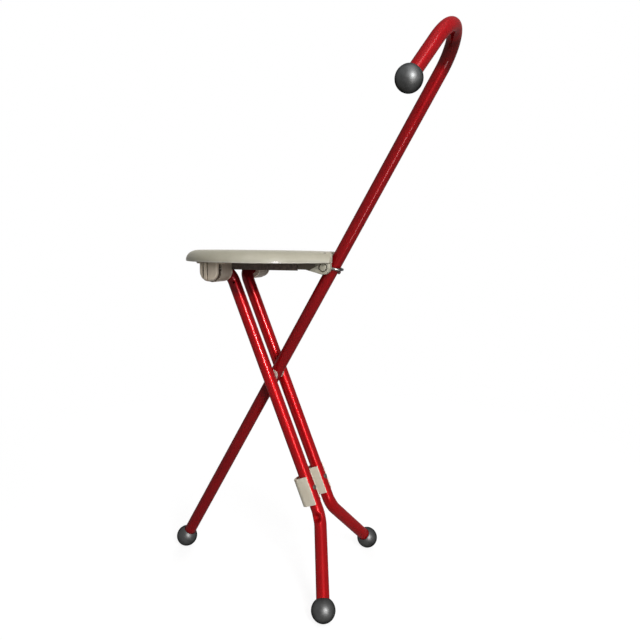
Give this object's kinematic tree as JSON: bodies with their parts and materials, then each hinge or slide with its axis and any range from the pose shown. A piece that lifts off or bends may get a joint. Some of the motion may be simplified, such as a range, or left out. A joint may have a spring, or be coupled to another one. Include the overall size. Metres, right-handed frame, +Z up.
{
  "type": "folding stick stool",
  "caption": "Folding walking-stick stool: crook-handled tube crossed by splayed legs, round seat hinged on the legs and held to the stick by a sliding wire bail, ball feet.",
  "frame": {"origin": "on the floor, under the middle of the opened stool's bounding box", "axes": "+Z up, the fold lies in the XZ plane, the stick leans towards +X, the crook turns to -Y"},
  "size_m": [0.4347, 0.2426, 0.7605],
  "materials": {
    "red_paint": "glossy red paint on steel tube",
    "ball_metal": "dark grey metal, satin",
    "seat_plastic": "beige moulded plastic, satin",
    "rail_paint": "dark brown paint",
    "spacer_plastic": "pale nylon",
    "steel": "plain steel",
    "dark_steel": "blackened steel",
    "bright_wire": "bright steel wire"
  },
  "bodies": {
    "stick": {"stick_tube": "red_paint", "handle_ball": "ball_metal", "stick_foot": "ball_metal", "pivot_pin": "steel", "bail_stop": "dark_steel", "left_spacer": "spacer_plastic", "right_spacer": "spacer_plastic"},
    "legs": {"left_leg_tube": "red_paint", "left_foot": "ball_metal", "left_clip": "seat_plastic", "left_clip_rivet": "dark_steel", "right_leg_tube": "red_paint", "right_foot": "ball_metal", "right_clip": "seat_plastic", "right_clip_rivet": "dark_steel"},
    "seat": {"seat_shell": "seat_plastic", "seat_screws": "steel", "left_hub": "seat_plastic", "left_rail": "rail_paint", "left_lug": "seat_plastic", "right_hub": "seat_plastic", "right_rail": "rail_paint", "right_lug": "seat_plastic"},
    "bail": {"bail": "bright_wire", "left_bail_cap": "seat_plastic", "right_bail_cap": "seat_plastic"}
  },
  "joints": [
    {"name": "leg_fold", "type": "hinge", "parent": "stick", "child": "legs", "pos_m": [-0.04161, 0, 0.3024], "axis": [0, 1, 0], "range_deg": [0, 47.4]},
    {"name": "seat_fold", "type": "hinge", "parent": "legs", "child": "seat", "pos_m": [-0.10473, 0, 0.45593], "axis": [0, 1, 0], "range_deg": [-104, 0]},
    {"name": "bail_turn", "type": "hinge", "parent": "seat", "child": "bail", "pos_m": [0.04039, 0, 0.4632], "axis": [0, 1, 0], "range_deg": [0, 57]}
  ],
  "couplings": [
    {"joint": "seat_fold", "follows": "leg_fold", "ratio": -2.1813},
    {"joint": "bail_turn", "follows": "leg_fold", "ratio": 1.1813}
  ]
}
